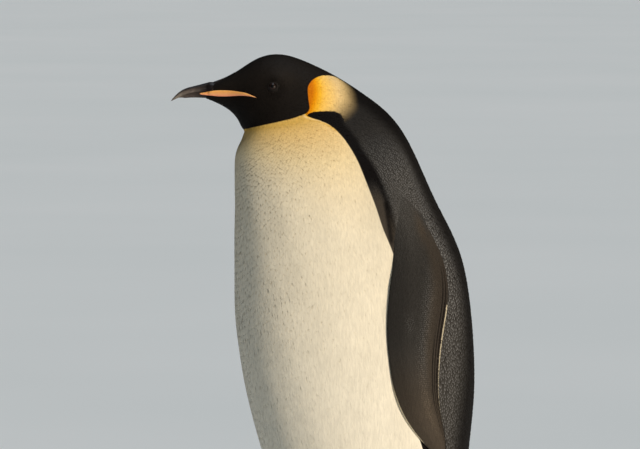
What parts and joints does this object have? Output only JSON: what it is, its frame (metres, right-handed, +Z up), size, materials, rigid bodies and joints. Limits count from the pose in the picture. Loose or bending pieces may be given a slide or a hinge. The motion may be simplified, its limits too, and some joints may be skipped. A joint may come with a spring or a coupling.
{
  "type": "emperor penguin model",
  "caption": "Still, life-size adult emperor penguin standing upright with its head turned slightly and its flippers at its sides.",
  "frame": {"origin": "middle of the bird's bounding box, on the floor it stands on", "axes": "+Z up, -Y the way the breast faces, +X towards the bird's left side"},
  "size_m": [0.3192, 0.4496, 1.0017],
  "materials": {
    "head_feathers": "dense short velvety feathers, soot black with a brown cast",
    "neck_feathers": "smooth short feathers, deep orange patch fading through gold to cream",
    "belly_feathers": "silky overlapping feathers, cream white with a faint yellow upper breast",
    "back_feathers": "stiff overlapping feathers, slate grey with paler bluish tips",
    "leg_feathers": "short soft feathers, dark grey",
    "bill_horn": "smooth dark horn, slightly glossy",
    "bill_plate": "smooth orange to pink horny plate",
    "eye": "wet, dark brown iris and black pupil",
    "foot_skin": "matt black scaly skin",
    "claw_horn": "smooth blackish horn"
  },
  "bodies": {
    "root": {"head": "head_feathers", "neck": "neck_feathers", "trunk": "belly_feathers", "tail": "back_feathers", "bill_upper": "bill_horn", "bill_lower": "bill_horn", "bill_plate_left": "bill_plate", "bill_plate_right": "bill_plate", "eye_left": "eye", "eye_right": "eye", "flipper_left": "back_feathers", "flipper_right": "back_feathers", "leg_left": "leg_feathers", "leg_right": "leg_feathers", "foot_left": "foot_skin", "foot_right": "foot_skin", "claw_left_1": "claw_horn", "claw_left_2": "claw_horn", "claw_left_3": "claw_horn", "claw_left_4": "claw_horn", "claw_right_1": "claw_horn", "claw_right_2": "claw_horn", "claw_right_3": "claw_horn", "claw_right_4": "claw_horn"}
  },
  "joints": []
}
